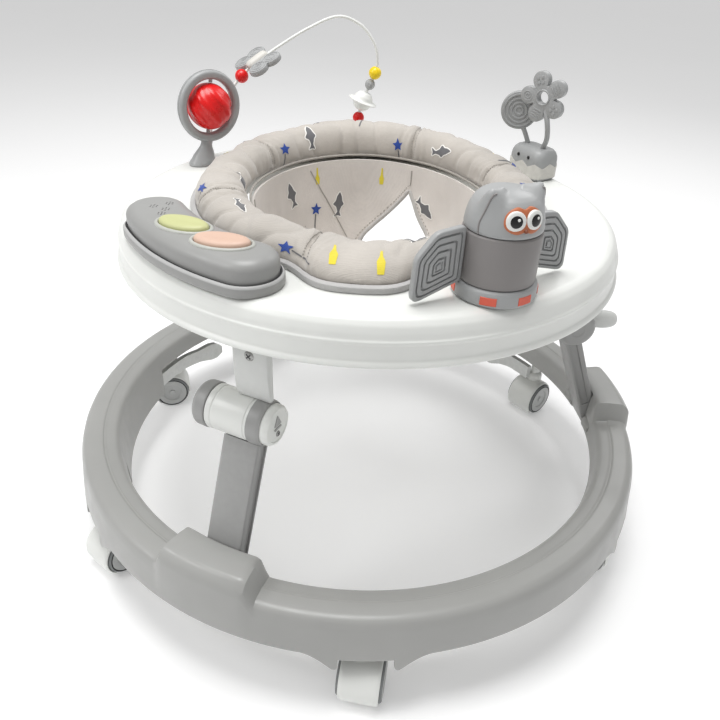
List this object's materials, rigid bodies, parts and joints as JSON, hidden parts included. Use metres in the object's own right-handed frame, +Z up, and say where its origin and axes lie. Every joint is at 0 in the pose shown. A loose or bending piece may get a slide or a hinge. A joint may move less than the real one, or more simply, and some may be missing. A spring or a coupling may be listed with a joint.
{
  "type": "baby walker",
  "caption": "Round baby walker: caster ring, folding legs, level tray with padded seat, sound panel, owl, rattle, flower and bead wire.",
  "frame": {"origin": "on the floor under the centre of the floor ring", "axes": "+Z up; +Y the way the seated child faces; +X to the child's right, through the first folding leg's side"},
  "size_m": [0.68, 0.7008, 0.5317],
  "materials": {
    "ring_plastic": "satin warm grey moulding",
    "leg_plastic": "satin mid grey",
    "toy_grey": "soft mid grey toy plastic",
    "dark_grey": "darker grey toy plastic",
    "white_plastic": "off-white gloss",
    "bracket_plastic": "light grey satin",
    "tyre_rubber": "grey wheel with a soft tread",
    "seat_cloth": "pale grey padded cloth with a small print",
    "red_plastic": "bright red",
    "yellow_plastic": "bright yellow",
    "lime_plastic": "pale lime",
    "peach_plastic": "pale peach"
  },
  "bodies": {
    "base": {"base_ring": "ring_plastic", "stop_arm_left": "ring_plastic", "stop_arm_right": "ring_plastic"},
    "caster_1": {"caster_hood_1": "white_plastic"},
    "wheels_1": {"caster_wheel_1": "tyre_rubber"},
    "caster_2": {"caster_hood_2": "white_plastic"},
    "wheels_2": {"caster_wheel_2": "tyre_rubber"},
    "caster_3": {"caster_hood_3": "white_plastic"},
    "wheels_3": {"caster_wheel_3": "tyre_rubber"},
    "caster_4": {"caster_hood_4": "white_plastic"},
    "wheels_4": {"caster_wheel_4": "tyre_rubber"},
    "caster_5": {"caster_hood_5": "white_plastic"},
    "wheels_5": {"caster_wheel_5": "tyre_rubber"},
    "caster_6": {"caster_hood_6": "white_plastic"},
    "wheels_6": {"caster_wheel_6": "tyre_rubber"},
    "lower_leg_a": {"lower_leg_a": "leg_plastic", "knee_cap_a": "leg_plastic", "knee_collar_a": "leg_plastic", "latch_knob": "bracket_plastic"},
    "upper_leg_a": {"upper_bracket_a": "bracket_plastic", "knee_barrel_a": "white_plastic"},
    "knee_button_a": {"knee_button_a": "white_plastic"},
    "lower_leg_b": {"lower_leg_b": "leg_plastic", "knee_cap_b": "leg_plastic", "knee_collar_b": "leg_plastic"},
    "upper_leg_b": {"upper_bracket_b": "bracket_plastic", "knee_barrel_b": "white_plastic"},
    "knee_button_b": {"knee_button_b": "white_plastic"},
    "lower_leg_c": {"lower_leg_c": "leg_plastic", "knee_cap_c": "leg_plastic", "knee_collar_c": "leg_plastic"},
    "upper_leg_c": {"upper_bracket_c": "bracket_plastic", "knee_barrel_c": "white_plastic"},
    "knee_button_c": {"knee_button_c": "white_plastic"},
    "tray": {"tray": "white_plastic", "tray_lug_a": "white_plastic", "tray_lug_b": "white_plastic", "tray_lug_c": "white_plastic", "seat_ring": "seat_cloth", "seat_sling": "seat_cloth", "music_panel": "toy_grey", "rattle_ring": "toy_grey", "arch_wire": "white_plastic", "owl_foot": "toy_grey", "owl_head": "toy_grey", "owl_wing_left": "toy_grey", "owl_wing_right": "toy_grey", "sprout_block": "toy_grey", "flower": "toy_grey", "swirl_disc": "toy_grey"},
    "button_lime": {"button_lime": "lime_plastic"},
    "button_peach": {"button_peach": "peach_plastic"},
    "rattle_ball": {"rattle_ball": "red_plastic"},
    "butterfly": {"butterfly": "toy_grey"},
    "bead_red_left": {"bead_red_left": "red_plastic"},
    "bead_yellow": {"bead_yellow": "yellow_plastic"},
    "bead_grey": {"bead_grey": "toy_grey"},
    "bead_saucer": {"bead_saucer": "white_plastic"},
    "bead_red_right": {"bead_red_right": "red_plastic"},
    "owl_drum": {"owl_drum": "dark_grey"}
  },
  "joints": [
    {"name": "swivel_1", "type": "hinge", "parent": "base", "child": "caster_1", "pos_m": [0.2728, 0.1575, 0.06], "axis": [0, 0, 1], "continuous": true},
    {"name": "axle_1", "type": "hinge", "parent": "caster_1", "child": "wheels_1", "pos_m": [0.2682, 0.15364, 0.0235], "axis": [0.6428, -0.766, 0], "continuous": true},
    {"name": "swivel_2", "type": "hinge", "parent": "base", "child": "caster_2", "pos_m": [0, 0.315, 0.06], "axis": [0, 0, 1], "continuous": true},
    {"name": "axle_2", "type": "hinge", "parent": "caster_2", "child": "wheels_2", "pos_m": [0.00125, 0.32087, 0.0235], "axis": [-0.9781, 0.2079, 0], "continuous": true},
    {"name": "swivel_3", "type": "hinge", "parent": "base", "child": "caster_3", "pos_m": [-0.2728, 0.1575, 0.06], "axis": [0, 0, 1], "continuous": true},
    {"name": "axle_3", "type": "hinge", "parent": "caster_3", "child": "wheels_3", "pos_m": [-0.27859, 0.15595, 0.0235], "axis": [0.2588, -0.9659, 0], "continuous": true},
    {"name": "swivel_4", "type": "hinge", "parent": "base", "child": "caster_4", "pos_m": [-0.2728, -0.1575, 0.06], "axis": [0, 0, 1], "continuous": true},
    {"name": "axle_4", "type": "hinge", "parent": "caster_4", "child": "wheels_4", "pos_m": [-0.27665, -0.1621, 0.0235], "axis": [0.766, -0.6428, 0], "continuous": true},
    {"name": "swivel_5", "type": "hinge", "parent": "base", "child": "caster_5", "pos_m": [0, -0.315, 0.06], "axis": [0, 0, 1], "continuous": true},
    {"name": "axle_5", "type": "hinge", "parent": "caster_5", "child": "wheels_5", "pos_m": [-0.00125, -0.32087, 0.0235], "axis": [0.9781, -0.2079, 0], "continuous": true},
    {"name": "swivel_6", "type": "hinge", "parent": "base", "child": "caster_6", "pos_m": [0.2728, -0.1575, 0.06], "axis": [0, 0, 1], "continuous": true},
    {"name": "axle_6", "type": "hinge", "parent": "caster_6", "child": "wheels_6", "pos_m": [0.2676, -0.1545, 0.0235], "axis": [-0.5, -0.866, 0], "continuous": true},
    {"name": "fold_a", "type": "hinge", "parent": "base", "child": "lower_leg_a", "pos_m": [0.29772, 0.013, 0.096], "axis": [0.0436, -0.999, 0], "range_deg": [0, 34]},
    {"name": "knee_a", "type": "hinge", "parent": "lower_leg_a", "child": "upper_leg_a", "pos_m": [0.23977, 0.01047, 0.2475], "axis": [0.0436, -0.999, 0], "range_deg": [-89, 0]},
    {"name": "lock_press_a", "type": "slide", "parent": "lower_leg_a", "child": "knee_button_a", "axis": [0.0436, -0.999, 0], "range_m": [0, 0.003], "stiffness_N_per_m": 300, "springref_m": -0.0008},
    {"name": "fold_b", "type": "hinge", "parent": "base", "child": "lower_leg_b", "pos_m": [-0.16012, 0.25133, 0.096], "axis": [0.8434, 0.5373, 0], "range_deg": [0, 34]},
    {"name": "knee_b", "type": "hinge", "parent": "lower_leg_b", "child": "upper_leg_b", "pos_m": [-0.12895, 0.20241, 0.2475], "axis": [0.8434, 0.5373, 0], "range_deg": [-89, 0]},
    {"name": "lock_press_b", "type": "slide", "parent": "lower_leg_b", "child": "knee_button_b", "axis": [0.8434, 0.5373, 0], "range_m": [0, 0.003], "stiffness_N_per_m": 300, "springref_m": -0.0008},
    {"name": "fold_c", "type": "hinge", "parent": "base", "child": "lower_leg_c", "pos_m": [-0.1376, -0.26433, 0.096], "axis": [-0.887, 0.4617, 0], "range_deg": [0, 34]},
    {"name": "knee_c", "type": "hinge", "parent": "lower_leg_c", "child": "upper_leg_c", "pos_m": [-0.11082, -0.21288, 0.2475], "axis": [-0.887, 0.4617, 0], "range_deg": [-89, 0]},
    {"name": "lock_press_c", "type": "slide", "parent": "lower_leg_c", "child": "knee_button_c", "axis": [-0.887, 0.4617, 0], "range_m": [0, 0.003], "stiffness_N_per_m": 300, "springref_m": -0.0008},
    {"name": "tray_level", "type": "hinge", "parent": "upper_leg_a", "child": "tray", "pos_m": [0.23977, 0.01047, 0.34], "axis": [0.0436, -0.999, 0], "range_deg": [0, 54.5]},
    {"name": "press_lime", "type": "slide", "parent": "tray", "child": "button_lime", "axis": [0, 0, -1], "range_m": [0, 0.002], "stiffness_N_per_m": 250, "springref_m": -0.0008},
    {"name": "press_peach", "type": "slide", "parent": "tray", "child": "button_peach", "axis": [0, 0, -1], "range_m": [0, 0.002], "stiffness_N_per_m": 250, "springref_m": -0.0008},
    {"name": "spin_rattle_ball", "type": "hinge", "parent": "tray", "child": "rattle_ball", "pos_m": [-0.18653, 0.12582, 0.441], "axis": [0.1066, 0.0895, 0.9903], "continuous": true},
    {"name": "spin_butterfly", "type": "hinge", "parent": "tray", "child": "butterfly", "pos_m": [-0.13457, 0.18384, 0.48182], "axis": [0.7219, 0.488, 0.4906], "continuous": true},
    {"name": "spin_bead_red_left", "type": "hinge", "parent": "tray", "child": "bead_red_left", "pos_m": [-0.15313, 0.17231, 0.46668], "axis": [0.6444, 0.3637, 0.6726], "continuous": true},
    {"name": "spin_bead_yellow", "type": "hinge", "parent": "tray", "child": "bead_yellow", "pos_m": [0.00995, 0.22778, 0.466], "axis": [-0.2712, 0.0088, -0.9625], "continuous": true},
    {"name": "spin_bead_grey", "type": "hinge", "parent": "tray", "child": "bead_grey", "pos_m": [0.00412, 0.22796, 0.45191], "axis": [-0.4156, 0.0093, -0.9095], "continuous": true},
    {"name": "spin_bead_saucer", "type": "hinge", "parent": "tray", "child": "bead_saucer", "pos_m": [-0.00426, 0.22795, 0.43137], "axis": [-0.3329, -0.0052, -0.943], "continuous": true},
    {"name": "spin_bead_red_right", "type": "hinge", "parent": "tray", "child": "bead_red_right", "pos_m": [-0.00918, 0.22782, 0.40995], "axis": [-0.1386, -0.0063, -0.9903], "continuous": true},
    {"name": "spin_owl_drum", "type": "hinge", "parent": "tray", "child": "owl_drum", "pos_m": [0.09644, -0.20129, 0.3906], "axis": [0, 0, 1], "continuous": true}
  ],
  "couplings": [
    {"joint": "knee_a", "follows": "fold_a", "ratio": -2.59},
    {"joint": "knee_b", "follows": "fold_a", "ratio": -2.59},
    {"joint": "fold_b", "follows": "fold_a", "ratio": 1},
    {"joint": "knee_c", "follows": "fold_a", "ratio": -2.59},
    {"joint": "fold_c", "follows": "fold_a", "ratio": 1},
    {"joint": "tray_level", "follows": "fold_a", "ratio": 1.59}
  ]
}
